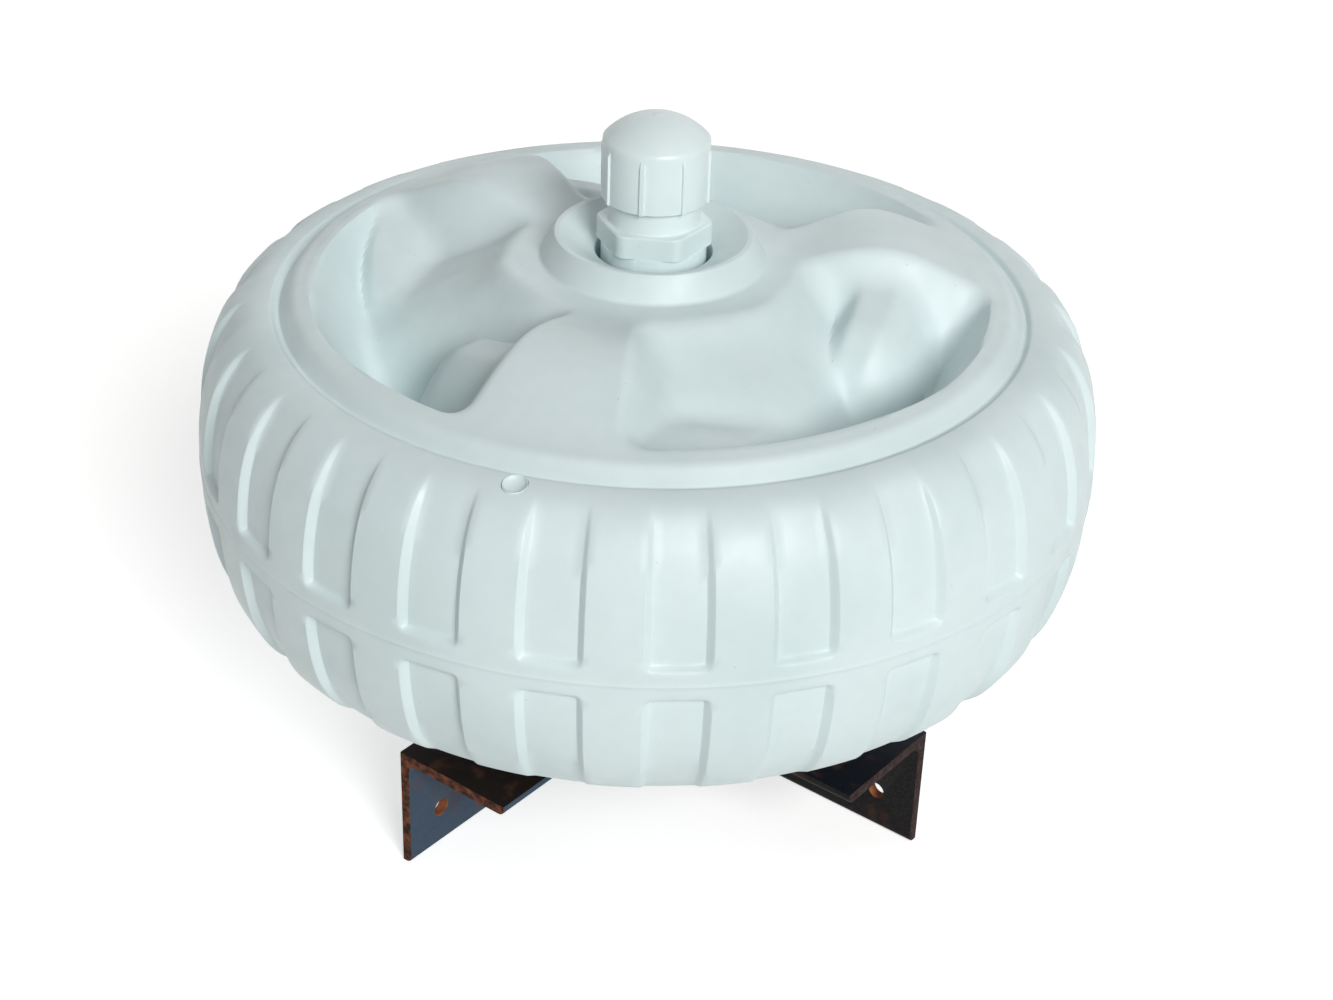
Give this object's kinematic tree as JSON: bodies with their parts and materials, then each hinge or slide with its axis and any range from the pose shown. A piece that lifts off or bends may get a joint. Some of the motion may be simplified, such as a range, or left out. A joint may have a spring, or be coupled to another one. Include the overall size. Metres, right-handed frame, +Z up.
{
  "type": "corner dock wheel",
  "caption": "Moulded plastic bumper wheel lying flat on an upright spindle, carried by a right-angled steel bracket that hooks over the corner of a dock.",
  "frame": {"origin": "on the wheel's axle, at the underside of the bracket's horizontal legs, the face that sits on the dock", "axes": "+Z up along the axle; the right arm runs along +X and the left arm along -Y, so the dock's corner fills the space between them below z = 0"},
  "size_m": [0.4998, 0.4996, 0.4054],
  "materials": {
    "moulded_polyethylene": "satin, as moulded",
    "white_pvc": "semi-gloss, as moulded",
    "slip_plastic": "waxy, machined",
    "mill_scale_steel": "hot-rolled mill scale with rusted cut edges",
    "weld_metal": "rough weld bead",
    "zinc_plated_steel": "dull zinc plate"
  },
  "bodies": {
    "bracket": {"left_angle": "mill_scale_steel", "right_angle": "mill_scale_steel", "seat_weld": "weld_metal", "corner_weld": "weld_metal", "edge_weld": "weld_metal", "spindle": "mill_scale_steel", "spindle_weld": "weld_metal", "base_washer": "zinc_plated_steel", "lower_thrust_washer": "slip_plastic", "upper_thrust_washer": "slip_plastic", "foot_collar": "white_pvc", "sleeve_pipe": "white_pvc", "pipe_adapter": "white_pvc", "end_washer": "zinc_plated_steel", "end_bolt": "zinc_plated_steel", "threaded_cap": "white_pvc"},
    "wheel": {"wheel": "moulded_polyethylene", "vent_plug": "moulded_polyethylene"}
  },
  "joints": [
    {"name": "wheel_spin", "type": "hinge", "parent": "bracket", "child": "wheel", "pos_m": [0, 0, 0.14525], "axis": [0, 0, 1], "continuous": true}
  ]
}
